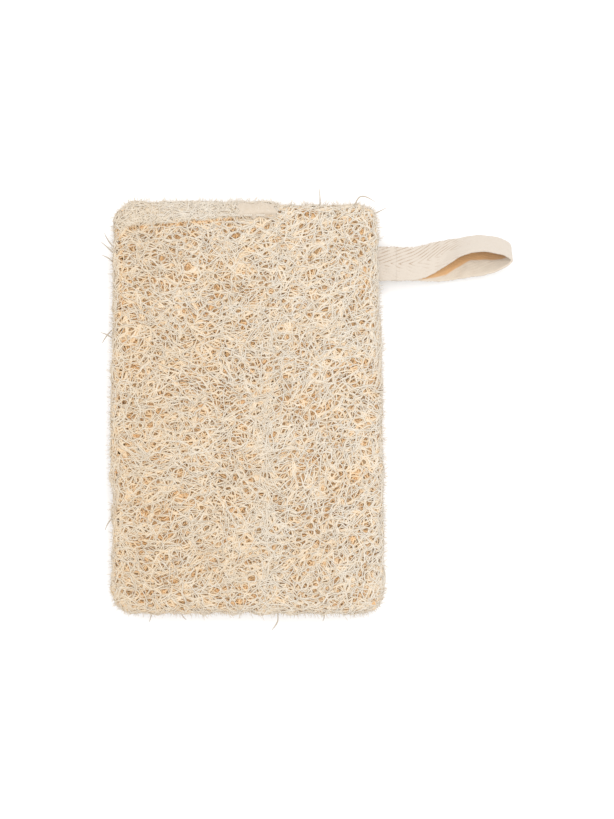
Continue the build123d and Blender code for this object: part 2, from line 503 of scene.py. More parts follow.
def place_holes(seed, face):
    """Holes as rows of x, y, radius, stretch and turn, with a tree to find the nearest."""
    rng = np.random.default_rng(seed)
    half_x = half_width(-PAD_HALF_LENGTH) + SKIRT
    half_y = PAD_HALF_LENGTH + SKIRT
    columns = np.arange(-half_x, half_x, HOLE_SPACING)
    rows = np.arange(-half_y, half_y, HOLE_SPACING * HOLE_ROW_SHARE)
    x, y = np.meshgrid(columns, rows)
    x = (x + (np.arange(len(rows)) % 2)[:, None] * HOLE_SPACING / 2).ravel()
    y = y.ravel()
    x = x + rng.normal(0, HOLE_JITTER, x.shape)
    y = y + rng.normal(0, HOLE_JITTER, y.shape)
    openness = OPENNESS + 0.3 * wander(x, y, 22, seed + 1)
    if face > 0:
        openness = openness - 0.6 * near_rib(x, y) - 0.7 * hem_rise(x, y) / HEM_HEIGHT
    kept = rng.random(x.shape) < openness
    x, y = x[kept], y[kept]
    radius = np.clip(np.exp(rng.normal(math.log(HOLE_RADIUS), 0.38, x.shape)), *HOLE_RADIUS_LIMITS)
    if face > 0:
        x = np.concatenate([x, [place[0] for place in HEM_HOLES]])
        y = np.concatenate([y, [place[1] for place in HEM_HOLES]])
        radius = np.concatenate([radius, np.full(len(HEM_HOLES), HEM_HOLE_RADIUS)])
    stretch = rng.uniform(1.0, 1.8, x.shape)
    turn = main_heading(x, y) + rng.normal(0, 0.5, x.shape)
    tree = KDTree(len(x))
    for number, place in enumerate(zip(x, y)):
        tree.insert((*place, 0), number)
    tree.balance()
    print("holes on face", face, ":", len(x))
    return np.stack([x, y, radius, stretch, turn], axis=1), tree


FACES = {"front": 1, "back": -1}
HOLES = {face: place_holes(500 + face, face) for face in FACES.values()}

# %% [markdown]
# A fibre that meets a hole goes round it. Each point of a path is pushed straight out
# from the middle of its nearest hole, less and less with distance, so paths stay smooth.

# %% Part the fibres round the holes
HOLE_REACH = 1.9


def part_round_holes(x, y, holes, clear):
    """Push plan points out of the holes and clear of them, and those nearby a little less."""
    table, tree = holes
    places = zip(x.ravel(), y.ravel())
    nearest = np.array([tree.find((px, py, 0))[1] for px, py in places]).reshape(x.shape)
    hole_x, hole_y, radius, stretch, turn = np.moveaxis(table[nearest], -1, 0)
    radius = radius + clear
    off_x, off_y = x - hole_x, y - hole_y
    u = (off_x * np.cos(turn) + off_y * np.sin(turn)) / (radius * stretch)
    v = (off_y * np.cos(turn) - off_x * np.sin(turn)) / radius
    away = np.maximum(np.hypot(u, v), 1e-3)
    pushed = np.where(away < HOLE_REACH, 1 + away * (HOLE_REACH - 1) / HOLE_REACH, away)
    u = u * pushed / away * radius * stretch
    v = v * pushed / away * radius
    return hole_x + u * np.cos(turn) - v * np.sin(turn), hole_y + u * np.sin(turn) + v * np.cos(turn)


# %% [markdown]
# A fibre has a start, a heading, a steady bend and a small wiggle. All the fibres of a
# layer are stepped forward together with arrays, which is fast. A curve with a round
# bevel turns each path into a thin tube, and is then made a mesh with closed ends.


# %% Grow fibres
def grow(rng, start, heading, length, bend, wiggle, steps):
    """Step a set of flat paths forward and return them, centred on their starts."""
    count = len(start)
    stride = length / (steps - 1)
    phase = rng.uniform(0, 2 * math.pi, count)
    x = np.zeros((count, steps))
    y = np.zeros((count, steps))
    way = heading.copy()
    for k in range(1, steps):
        way = way + bend * stride + wiggle * np.sin(phase + k * 1.9)
        x[:, k] = x[:, k - 1] + stride * np.cos(way)
        y[:, k] = y[:, k - 1] + stride * np.sin(way)
    x += (start[:, 0] - x.mean(axis=1))[:, None]
    y += (start[:, 1] - y.mean(axis=1))[:, None]
    return x, y


# %% From curves to mesh pieces
def curve_mesh(name, curve):
    """Turn a bevelled curve into a closed mesh piece of the same name."""
    holder = bpy.data.objects.new(name + "_curve", curve)
    bpy.context.scene.collection.objects.link(holder)
    mesh = bpy.data.meshes.new_from_object(holder)
    bpy.data.objects.remove(holder)
    bpy.data.curves.remove(curve)
    mesh.name = name
    body = bmesh.new()
    body.from_mesh(mesh)
    open_ends = [edge for edge in body.edges if edge.is_boundary]
    bmesh.ops.holes_fill(body, edges=open_ends, sides=0)
    bmesh.ops.recalc_face_normals(body, faces=body.faces[:])
    body.to_mesh(mesh)
    body.free()
    mesh.shade_smooth()
    piece = bpy.data.objects.new(name, mesh)
    bpy.context.scene.collection.objects.link(piece)
    return piece


def keep_on_mesh(mesh, label, values):
    """Keep one value for each corner of a mesh under a name that a material can read."""
    layer = mesh.attributes.new(label, "FLOAT", "POINT")
    layer.data.foreach_set("value", np.ascontiguousarray(values, dtype=np.float32))


# %% [markdown]
# The crown of a fibre catches the light and its flanks sink into warm shade, so on each
# tube the flanks count as a little deeper than the crown. The depth and the tone are kept
# on the mesh, so this shade is part of the colour and goes wherever the model goes.

# %% Thin tubes
TUBE_SIDES = 4
DEEPEST = 2.6
FLANK_DEPTH = 0.4
FLANK_SHARE = 0.5


def flank_depth(mesh, facing):
    """How much deeper each corner of a tube counts: its crown less and its underside more."""
    height = np.empty(len(mesh.vertices) * 3)
    mesh.vertices.foreach_get("co", height)
    rings = height.reshape(-1, TUBE_SIDES, 3)[:, :, 2] * facing
    below = rings.mean(axis=1, keepdims=True) - rings
    reach = np.maximum(np.abs(below).max(axis=1, keepdims=True), 1e-6)
    return FLANK_DEPTH * (below / reach + FLANK_SHARE)


def tubes(name, paths, radii, depth, tone, facing=1):
    """Thin closed tubes along paths, in millimetres, as one mesh piece."""
    curve = bpy.data.curves.new(name, "CURVE")
    curve.dimensions = "3D"
    curve.bevel_depth = MM
    curve.bevel_resolution = 0
    count, steps = paths.shape[:2]
    corners = np.concatenate([paths * MM, np.ones((count, steps, 1))], axis=2)
    for k in range(count):
        spline = curve.splines.new("POLY")
        spline.points.add(steps - 1)
        spline.points.foreach_set("co", corners[k].ravel())
        spline.points.foreach_set("radius", radii[k])
        spline.use_smooth = True
    piece = curve_mesh(name, curve)
    corner_depth = depth.ravel()[:, None] + flank_depth(piece.data, facing)
    keep_on_mesh(piece.data, "fibre_depth_shade", np.clip(corner_depth / DEEPEST, 0, 1).ravel())
    keep_on_mesh(piece.data, "fibre_tone_and_light", np.repeat(tone, TUBE_SIDES * steps))
    print(name, count, "fibres,", 2 * len(piece.data.polygons), "triangles")
    return piece


print("a tube has", TUBE_SIDES, "sides, and counts as deepest at", DEEPEST, "mm")

# %% [markdown]
# A fibre dives at both ends, because it is rooted in the web, and thins towards them. Its
# tone drifts at random over the pad, and painted light makes it paler to the right and at
# the hemmed end. Fibres in the grooves count as deeper, which is painted shade. Every layer
# of the web is laid by the same function with other numbers.

# %% Lay fibres over the pad
# How much deeper a fibre in a groove counts, so that it is painted browner as shade.
GROOVE_PAINTED_SHADE = 1.3
MIDDLE_TONE = 0.55


def finish_web(piece, look):
    """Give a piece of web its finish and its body."""
    piece.data.materials.append(look)
    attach(piece, "pad")
    return piece


def fibre_tones_with_painted_light(rng, x, y):
    """A tone for each fibre, with some chance, and with painted light that makes it paler to the right and at
    the hemmed end.
    """
    # Painted light: the slope in x and y makes fibres paler to the right and at the hemmed end; the wander
    # and the chance are the fibre's own tone.
    tone_drift_and_painted_light = 0.12 * wander(x, y, 30, 21) + 0.008 * x + 0.002 * y
    return np.clip(MIDDLE_TONE + tone_drift_and_painted_light + rng.normal(0, 0.2, x.shape), 0, 1)


def lay_fibres(name, rng, start, heading, face, depths, lengths, thick, curl=0.07, parted=True, steps=9):
    """Fibres with given starts and headings, laid over one face and down its sides."""
    count = len(start)
    bend = rng.normal(0, curl, count)
    x, y = grow(rng, start, heading, rng.uniform(*lengths, count), bend, 0.1, steps)
    if parted:
        x, y = part_round_holes(x, y, HOLES[face], sum(thick) / 4)
    along = np.linspace(0, 1, steps)[None, :]
    dive = np.abs(2 * along - 1) ** 3 * rng.uniform(0.1, 0.7, count)[:, None]
    wave = along * rng.uniform(3, 9, count)[:, None] + rng.uniform(0, 6, count)[:, None]
    depth = rng.uniform(*depths, count)[:, None] + dive + 0.2 * np.sin(wave)
    paths = lay_on_pad(x, y, depth, face)
    taper = 1 - 0.45 * (2 * along - 1) ** 2
    radii = (rng.uniform(*thick, count)[:, None] * taper).astype(np.float32)
    # Painted shade: fibres in the grooves beside the hem and the fold are painted browner.
    depth_with_groove_shade = depth + (GROOVE_PAINTED_SHADE * groove(x, y) if face > 0 else 0)
    piece = tubes(name, paths, radii, depth_with_groove_shade, fibre_tones_with_painted_light(rng, start[:, 0], start[:, 1]), face)
    return finish_web(piece, LUFFA_LOOK)


# %% [markdown]
# The web is built up in layers. A bed of thick fibres, painted brown by the depth shade,
# lies lowest and isn't parted, so it closes the bottom of every hole. Over it come layers of
# finer fibres, painted paler as they lie higher, that keep clear of the holes. Most run near
# the main heading and the rest at large, which ties them together. The back has fewer
# layers than the front, and is built the same.


# %% Layers of web
def scatter(rng, count, margin):
    """Random places on the plan, out to margin past the flat outline."""
    y = rng.uniform(-1, 1, count) * (PAD_HALF_LENGTH + margin)
    x = rng.uniform(-1, 1, count) * (half_width(y) + margin)
    return np.stack([x, y], axis=1)


def web_layer(name, seed, count, face, depths, lengths, thick, parted, steps):
    """One layer of fibres over a face."""
    rng = np.random.default_rng(seed)
    start = scatter(rng, count, SKIRT)
    spread = rng.choice([0.5, 1.5], count, p=[0.5, 0.5])
    heading = main_heading(start[:, 0], start[:, 1]) + rng.normal(0, 1, count) * spread
    return lay_fibres(name, rng, start, heading, face, depths, lengths, thick, parted=parted, steps=steps)


# %% Both faces
# Each layer: its name, fibres, depths, lengths and radii in mm, whether it is parted, steps.
LAYERS = [
    ("bed", 4200, (1.1, 2.2), (8, 16), (0.26, 0.42), False, 6),
    ("lower", 2900, (0.6, 0.9), (5, 12), (0.34, 0.50), True, 9),
    ("middle", 2900, (0.4, 0.7), (5, 12), (0.26, 0.40), True, 9),
    ("upper", 2900, (0.1, 0.45), (5, 11), (0.17, 0.28), True, 9),
    ("top", 2400, (-0.1, 0.15), (4, 10), (0.13, 0.22), True, 9),
]
ONLY_FRONT = ("middle", "top")
for side_name, face in FACES.items():
    for number, (layer_name, *settings) in enumerate(LAYERS):
        if face > 0 or layer_name not in ONLY_FRONT:
            count, depths, lengths, thick, parted, steps = settings
            name = f"{side_name}_web_{layer_name}"
            seed = 100 * number + 50 + face
            web_layer(name, seed, count, face, depths, lengths, thick, parted, steps)
    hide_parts(f"{side_name}_luffa_panel")

# %% [markdown]
# Two ribs run down the front, where the inner walls of the gourd were. They are bundles
# of long fibres that lie almost upright, with branches that leave them to both sides.


# %% The ribs
def rib(name, seed, x, low, high, count, width, depths):
    """A bundle of upright fibres down the front, with branches to both sides."""
    rng = np.random.default_rng(seed)
    start = np.stack([rng.normal(x, width, count), rng.uniform(low, high, count)], axis=1)
    branch = rng.random(count) < 0.4
    lean = rng.choice([-1, 1], count) * rng.uniform(0.45, 0.95, count)
    heading = math.pi / 2 + np.where(branch, lean, rng.normal(0, 0.14, count))
    return lay_fibres(name, rng, start, heading, 1, depths, (7, 18), (0.15, 0.26), curl=0.05)


rib("middle_rib", 301, RIB_X, -PAD_HALF_LENGTH, RIB_TOP, 110, 1.5, (-0.05, 0.4))
SIDE_RIB_X = -8.3
rib("side_rib", 302, SIDE_RIB_X, -PAD_HALF_LENGTH, PAD_HALF_LENGTH - 15, 40, 1.4, (0.0, 0.4))

# %% [markdown]
# The hem is a strip of the same luffa, rolled over the open end and sewn down. Its skin is
# already raised by hem_rise, and this layer adds its own fibres, which run along it.

# %% The hem
HEM_FIBRES = 1200
hem_rng = np.random.default_rng(610)
hem_x = hem_rng.uniform(hem_low[0] - 1, hem_high[0] + 1, HEM_FIBRES)
hem_span = PAD_HALF_LENGTH + SKIRT - 2 - hem_low[1]
hem_y = hem_low[1] - 1.5 + hem_rng.uniform(0, 1, HEM_FIBRES) * hem_span
on_hem = above_hem_edge(hem_x, hem_y) > 0.6
hem_start = np.stack([hem_x[on_hem], hem_y[on_hem]], axis=1)
hem_turn = np.where(hem_rng.random(len(hem_start)) < 0.4, 0.45, 1.4)
hem_heading = 0.09 + hem_rng.normal(0, 1, len(hem_start)) * hem_turn
hem_web = lay_fibres(
    "hem_web", hem_rng, hem_start, hem_heading, 1, (-0.3, 0.7), (3, 8), (0.17, 0.28), parted=False, steps=7)
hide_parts("closing_hem")

# %% [markdown]
# One end of the hem still carries a smooth scrap of the gourd's inner skin. It is a flat
# grid that is laid on the fibres with a wavy outline, and solidify gives it a thickness.

# %% The scrap of skin on the hem
SKIN_LEFT = -3.5
SKIN_THICK = 0.3
SKIN_HEIGHT = 0.62
skin = bmesh.new()
bmesh.ops.create_grid(skin, x_segments=48, y_segments=20, size=1)
skin_flat = np.array([corner.co for corner in skin.verts])
skin_x = SKIN_LEFT + (skin_flat[:, 0] + 1) / 2 * (hem_high[0] + 0.3 - SKIN_LEFT)
skin_y = HEM_EDGE_RIGHT - 1.2 + (skin_flat[:, 1] + 1) / 2 * (PAD_HALF_LENGTH - HEM_EDGE_RIGHT + 1.6)
skin_x = skin_x + 0.5 * wander(skin_y * 3, skin_x * 0, 8, 31) * np.abs(skin_flat[:, 0])
skin_y = skin_y + 0.35 * wander(skin_x * 2, skin_y * 0, 7, 32) * np.abs(skin_flat[:, 1])
skin_height = SKIN_HEIGHT + 0.12 * wander(skin_x, skin_y, 3, 33)
for corner, place in zip(skin.verts, lay_on_pad(skin_x, skin_y, -skin_height, 1) * MM):
    corner.co = place
bmesh.ops.recalc_face_normals(skin, faces=skin.faces[:])
bmesh.ops.solidify(skin, geom=skin.faces[:], thickness=SKIN_THICK * MM)
bmesh.ops.recalc_face_normals(skin, faces=skin.faces[:])
hem_skin = mesh_piece("hem_skin", skin)
hem_skin.data.shade_smooth()
skin_size = len(hem_skin.data.vertices)
keep_on_mesh(hem_skin.data, "fibre_depth_shade", np.full(skin_size, 0.33))
keep_on_mesh(hem_skin.data, "fibre_tone_and_light", np.full(skin_size, 0.15))
SKIN_COLOURS = [(0.0, (0.53, 0.46, 0.385)), (1.0, (0.5, 0.42, 0.33))]
finish_web(hem_skin, luffa_finish("inner_skin", SKIN_COLOURS, (0.96, 0.92, 0.86), WHITE))
print("hem_skin", len(hem_skin.data.polygons), "faces")

# %% [markdown]
# The edge of a luffa pad is furry, because every fibre that was cut there ends in a
# short point. These ends stand out from the sides and from the hem. Beside the tape's
# root there are none, so that the tape can swing down against the pad's side.

# %% Cut ends
END_STEPS = 4
FRONT_SHARE = 0.6
END_RADII = (0.12, 0.19)


def cut_ends(name, seed, places, reaches, rises, heading_spread):
    """Short pointed fibre ends that stand out of the skin at given places."""
    rng = np.random.default_rng(seed)
    count = len(places)
    front = rng.random(count) < FRONT_SHARE
    along = np.linspace(0, 1, END_STEPS)[None, :]
    heading = main_heading(places[:, 0], places[:, 1]) + rng.normal(0, heading_spread, count)
    reach = rng.uniform(*reaches, count)[:, None] * along
    x = places[:, :1] + np.cos(heading)[:, None] * reach
    y = places[:, 1:] + np.sin(heading)[:, None] * reach
    height = rises[0] + (rises[1] - rises[0]) * rng.random(count) ** 2.2
    rise = height[:, None] * along ** rng.uniform(0.6, 1.4, count)[:, None] - 0.5
    on_front = lay_on_pad(x, y, -rise, 1)
    on_back = lay_on_pad(x, y, -rise, -1)
    paths = np.where(front[:, None, None], on_front, on_back)
    radii = (rng.uniform(*END_RADII, count)[:, None] * (1 - 0.7 * along)).astype(np.float32)
    tone = rng.uniform(0, 1, count)
    finish_web(tubes(name, paths, radii, np.zeros((count, END_STEPS)), tone), HAIR_LOOK)


# %% Where the cut ends stand
SWING_CLEARANCE = 2.2
neck_low, neck_high = (np.array(corner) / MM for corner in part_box("loop_neck"))
tape_middle = (neck_low[1] + neck_high[1]) / 2
tape_reach = (neck_high[1] - neck_low[1]) / 2 + SWING_CLEARANCE


def edge_places(seed, count):
    """Places on the rounded edge and the sides, clear of the tape's swing."""
    rng = np.random.default_rng(seed)
    places = scatter(rng, count * 8, SKIRT)
    past_side = np.abs(places[:, 0]) - half_width(places[:, 1])
    past_end = np.abs(places[:, 1]) - PAD_HALF_LENGTH
    places = places[np.maximum(past_side, past_end) > -1.0][:count]
    by_tape = (places[:, 0] > 0) & (np.abs(places[:, 1] - tape_middle) < tape_reach)
    print("fibre ends left out where the tape swings:", by_tape.sum())
    return places[~by_tape]


cut_ends("cut_ends", 401, edge_places(400, 4200), (0.3, 2.0), (0.5, 2.6), 1.5)
hem_tops = hem_start[hem_start[:, 1] > PAD_HALF_LENGTH - 4]
cut_ends("hem_ends", 403, hem_tops, (0.3, 2.4), (0.8, 3.0), 1.5)

# %% [markdown]
# A few long fibres have come loose and bend away from the pad. They are placed one by
# one, since a stray hair is easy to see, as smooth curves that thin towards their tips.

# %% Stray hairs
STRAY_RADIUS = 0.25
STRAY_COLOURS = [(0.0, (0.40, 0.34, 0.27)), (1.0, (0.36, 0.29, 0.22))]
STRAY_LOOK = luffa_finish("stray_luffa_hair", STRAY_COLOURS, (0.9, 0.84, 0.76), WHITE)
STRAYS = [
    [(26.9, 74.5, 17), (27.1, 78.0, 17), (26.7, 82.0, 16)],
    [(39.6, 75.0, 17), (40.6, 78.6, 18), (43.8, 79.6, 18), (47.3, 77.2, 17)],
    [(46.0, 72.4, 16), (48.6, 73.4, 16), (51.6, 75.0, 15)],
    [(-50.0, 60.5, 14), (-52.2, 62.6, 14), (-53.6, 65.8, 13)],
    [(-50.3, 58.4, 16), (-52.0, 60.2, 16), (-54.6, 62.3, 15)],
    [(-50.4, 55.0, 14), (-52.0, 56.8, 14), (-54.4, 57.4, 14)],
    [(-50.5, 26.5, 15), (-52.8, 28.2, 15), (-54.9, 28.6, 15)],
    [(-50.8, 29.5, 13), (-53.0, 27.6, 13), (-54.4, 24.6, 13)],
    [(-50.3, -40.5, 14), (-52.2, -41.8, 14), (-53.2, -45.0, 14)],
    [(-35.6, -74.5, 14), (-35.9, -77.0, 14), (-36.8, -79.4, 13)],
    [(-25.4, -75.0, 14), (-24.6, -77.4, 14), (-23.0, -78.6, 13)],
    [(11.0, -75.0, 15), (11.6, -78.4, 15), (10.2, -81.0, 14), (8.9, -82.6, 13)],
    [(28.4, -75.0, 14), (28.9, -77.4, 14), (28.0, -79.0, 14)],
]


def stray_hairs(name, routes):
    """One smooth tapered curve for each stray hair."""
    curve = bpy.data.curves.new(name, "CURVE")
    curve.dimensions = "3D"
    curve.bevel_depth = STRAY_RADIUS * MM
    curve.bevel_resolution = 1
    curve.resolution_u = 5
    for route in routes:
        spline = curve.splines.new("NURBS")
        spline.points.add(len(route) - 1)
        for point, place in zip(spline.points, route):
            point.co = (*[value * MM for value in place], 1)
        spline.order_u = 3
        spline.use_endpoint_u = True
        spline.points[-1].radius = 0.4
    piece = curve_mesh(name, curve)
    size = len(piece.data.vertices)
    keep_on_mesh(piece.data, "fibre_depth_shade", np.zeros(size))
    keep_on_mesh(piece.data, "fibre_tone_and_light", np.full(size, 0.5))
    finish_web(piece, STRAY_LOOK)
    print(name, len(routes), "hairs")


stray_hairs("stray_hairs", STRAYS)

# %% [markdown]
# Under the web lies the core, a closed body that shows only through the holes. It is
# painted warm and deep in colour as the shade inside the holes, and needs no relief of its
# own. A cube's corners are moved to the tapered outline of the pad, a few millimetres inside
# it, and its edges are bevelled.

# %% The core body
CORE_INSET = 2.9
CORE_ROUND = 3.0
CORE_STREAK_SCALE = 420


def core_body():
    """The pad's inside, a rounded slab a few millimetres under the skin."""
    body = bmesh.new()
    bmesh.ops.create_cube(body, size=2)
    for corner in body.verts:
        y = math.copysign(PAD_HALF_LENGTH - CORE_INSET, corner.co.y)
        corner.co.x = math.copysign(half_width(y) - CORE_INSET, corner.co.x)
        corner.co.y = y
        corner.co.z = PAD_THICK / 2 + math.copysign(PAD_THICK / 2 - CORE_INSET, corner.co.z)
    bmesh.ops.bevel(
        body, geom=body.edges[:], offset=CORE_ROUND, affect="EDGES", segments=4, profile=0.5, material=-1)
    for corner in body.verts:
        corner.co *= MM
    return mesh_piece("core_body", body)


core = core_body()
core_look, core_tree, core_shader = new_look("luffa_core")
core_streaks = add_streaks(core_tree, CORE_STREAK_SCALE)
# Painted shade: the core is coloured deep brown for the shade at the bottom of the holes.
CORE_SHADE_COLOURS = [(0.3, (0.70, 0.39, 0.15)), (0.55, (0.80, 0.52, 0.26)), (0.75, (0.86, 0.65, 0.42))]
core_shade_colour = ramp_of(core_tree, core_streaks.outputs["Value"], CORE_SHADE_COLOURS)
link(core_tree, core_shade_colour, core_shader.inputs["Base Color"])
core_shader.inputs["Roughness"].default_value = 0.85
core.data.materials.append(core_look)
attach(core, "pad")
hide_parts("luffa_core")
print("core_body", len(core.data.polygons), "faces,", CORE_INSET, "mm under the skin")

# %% [markdown]
# The loop is one length of cotton tape, folded at its tip, with both ends sewn into the
# pad. It follows the same line as its solid: two flat layers at the neck, then the legs
# twist, part and sink to the floor. The two joints' places come from the record, and the
# tape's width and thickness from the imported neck.

# %% Sizes of the tape and its line
joints = {joint["name"]: joint for joint in frame["record"]["behaviour"]["joints"]}
SWING_PLACE = np.array(joints["loop_swing"]["pos_m"]) / MM
TWIST_PLACE = np.array(joints["loop_twist"]["pos_m"]) / MM
loop_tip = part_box("hanging_loop")[1][0] / MM
TAPE_WIDE = neck_high[1] - neck_low[1]
STACK_GAP = 0.1
TAPE_THICK = (neck_high[2] - neck_low[2] - STACK_GAP) / 2
LAYER_OFFSET = (TAPE_THICK + STACK_GAP) / 2
MOVING_GAP = 0.3
SAME_POINT = 1e-4
LOW_EDGE = TAPE_THICK / 2 + 0.4
LOOP_REACH = loop_tip - TAPE_THICK / 2 - TWIST_PLACE[0] - MOVING_GAP
TIP_TWIST = math.radians(58.5)
TIP_POWER = 1.5
OUTER_TWIST_RUN = 0.57
INNER_TWIST_POWER = 1.2
SINK_RUN = 0.45
SIDE_DRIFT = 4.4
DRIFT_RUN = 0.7
EYE_SPREAD = 13.0
SPREAD_POWER = 1.4
NECK_SPLIT = (SWING_PLACE[0] + TWIST_PLACE[0]) / 2
TAIL = 11.0
print("tape width, thickness and loop reach, mm:", [round(v, 2) for v in (TAPE_WIDE, TAPE_THICK, LOOP_REACH)])


# %% The tape's line
def straight_run(x_from, x_to, side, steps):
    """A flat stretch of one layer: its middle points and its width directions."""
    x = np.linspace(x_from, x_to, steps)
    y = np.full(steps, SWING_PLACE[1])
    z = np.full(steps, SWING_PLACE[2] + side * LAYER_OFFSET)
    return np.stack([x, y, z], axis=1), np.tile([0.0, 1.0, 0.0], (steps, 1))


def loop_run(steps):
    """The twisted loop from the upper layer round the tip to the lower layer."""
    s = np.linspace(1, -1, steps)
    along = 1 - np.abs(s) ** TIP_POWER
    twist = TIP_TWIST * np.where(s > 0, ease(along / OUTER_TWIST_RUN), along ** INNER_TWIST_POWER)
    height = SWING_PLACE[2] + (LOW_EDGE - SWING_PLACE[2]) * ease(along / SINK_RUN)
    x = TWIST_PLACE[0] + MOVING_GAP + LOOP_REACH * along
    y = SWING_PLACE[1] + SIDE_DRIFT * ease(along / DRIFT_RUN) + s * EYE_SPREAD * along ** SPREAD_POWER
    z = height + TAPE_WIDE / 2 * np.sin(twist) + s * LAYER_OFFSET
    ways = np.stack([np.zeros(steps), np.cos(twist), -np.sin(twist)], axis=1)
    return np.stack([x, y, z], axis=1), ways


def join_runs(runs):
    """Join stretches end to end, leaving out points that repeat."""
    points = np.concatenate([run[0] for run in runs])
    ways = np.concatenate([run[1] for run in runs])
    gaps = np.linalg.norm(np.diff(points, axis=0), axis=1)
    fresh = np.concatenate([[True], gaps > SAME_POINT])
    return points[fresh], ways[fresh]


print("highest point of the loop's line, mm:", loop_run(400)[0][:, 2].max().round(1))

# %% [markdown]
# The tape is woven in herringbone: slanting ribs that mirror at the middle, each crossed
# by fine yarns. The ribs are heights on the flat tape, so the weave is real relief. Some
# stretches are pressed flat. The inside of the low leg is painted a little lighter, and a
# warm brown painted shade is put on it where the upper leg shades it.

# %% The woven ribs
RIB_PITCH = 1.2
YARN_PITCH = 0.9
RIB_SLANT = math.radians(20)
PLAIN_STRENGTH = 0.58
LOW_LEG_STRENGTH = 0.5


def weave_height(along, across):
    """The height of the woven ribs, from 0 in a groove to 1 on a rib."""
    mirrored = np.abs(across)
    over = (mirrored * math.cos(RIB_SLANT) - along * math.sin(RIB_SLANT)) / RIB_PITCH
    down = (mirrored * math.sin(RIB_SLANT) + along * math.cos(RIB_SLANT)) / YARN_PITCH
    rib_number = np.floor(over)
    rib_shape = np.sqrt(np.abs(np.sin(math.pi * over)))
    yarn = 0.5 + 0.5 * np.sin(2 * math.pi * (down + 0.5 * rib_number))
    return rib_shape * (0.82 + 0.18 * yarn)


def rib_strength(leg_share, along, across, upper):
    """How plainly the ribs stand out: most on the upper leg's outer half, near the pad."""
    outer_half = ease((across + 2.0) / 3) * ease((0.66 - leg_share) / 0.25)
    near_tip = ease((leg_share - 0.5) / 0.2)
    patchy = 0.9 + 0.3 * wander(along, across, 5.0, 75)
    plain = PLAIN_STRENGTH - 0.3 * near_tip
    strength = np.where(upper, plain + (1 - plain) * outer_half, LOW_LEG_STRENGTH)
    return np.clip(strength * patchy, 0.08, 1)


# %% The painted shade inside the fold
# Painted light: the whole inside of the low leg is painted a little lighter and warmer than the rest of the
# tape.
INNER_LEG_PAINTED_LIGHT = 0.14
# Where the painted shade of the upper leg ends across the low leg, in mm from its middle, at shares along the
# leg.
SHADE_EDGE_PLACES = (0.0, 0.12, 0.35, 0.48, 0.6, 0.75, 0.9, 1.0)
SHADE_EDGE_HEIGHTS = (-6.1, -5.4, -4.0, -1.4, 1.0, 1.0, -0.4, -1.5)


def fold_shade_share(leg_share, across):
    """How deep a place on the inner leg lies in the upper leg's painted shade, from 0 to 1."""
    shade_edge = np.interp(leg_share, SHADE_EDGE_PLACES, SHADE_EDGE_HEIGHTS)
    return ease((across - shade_edge) / 0.7 + 0.5) * ease(leg_share / 0.1)


# %% [markdown]
# A strip of tape starts as a flat grid, fine enough for the ribs. It is laid along the
# tape's line as the outer side, and an extrusion gives the inner side and the walls
# between. The two woven edges wander a little, as a selvedge does.

# %% Where a strip's corners go
TAPE_GRID = 0.24
RELIEF = 0.2
EDGE_FALL = 0.5
LOOK_ALONG = 0.3


def line_at(along, used, values):
    """Values of a joined run at lengths along it."""
    return np.stack([np.interp(along, used, values[:, k]) for k in range(3)], axis=1)


def tape_frame(along, used, points, ways):
    """The middle, the width direction and the outward direction at lengths along a run."""
    way = line_at(along, used, ways)
    run = line_at(along + LOOK_ALONG, used, points) - line_at(along - LOOK_ALONG, used, points)
    outward = np.cross(run, way)
    outward /= np.linalg.norm(outward, axis=1)[:, None]
    return line_at(along, used, points), way, outward


def woven_edges(along, flat_across):
    """Places across the tape, with its two woven edges a little uneven."""
    selvedge = np.abs(flat_across) ** 6
    across = flat_across * TAPE_WIDE / 2
    across = across + selvedge * 0.14 * wander(along, flat_across * 9, 1.6, 71)
    return across + selvedge * 0.16 * wander(along, flat_across * 9, 6.0, 72)


# %% A strip of tape
def tape_solid(name, strip, outer_places, inner_places, height, inner_light_shade):
    """Place the grid's corners, extrude them to the inner side and keep their two values."""
    weave = strip.verts.layers.float.new("weave_height")
    painted_light_shade_layer = strip.verts.layers.float.new("inner_painted_light_shade")
    origin = strip.verts.layers.int.new("origin")
    for number, corner in enumerate(strip.verts):
        corner.co = outer_places[number]
        corner[weave] = height[number]
        corner[origin] = number
    # The extruded inner side carries the painted light and shade of the fold.
    made = bmesh.ops.extrude_face_region(strip, geom=strip.faces[:], use_keep_orig=True)
    for corner in made["geom"]:
        if isinstance(corner, bmesh.types.BMVert):
            corner.co = inner_places[corner[origin]]
            corner[painted_light_shade_layer] = inner_light_shade[corner[origin]]
    bmesh.ops.recalc_face_normals(strip, faces=strip.faces[:])
    strip.verts.layers.int.remove(origin)
    piece = mesh_piece(name, strip)
    piece.data.shade_smooth()
    return piece


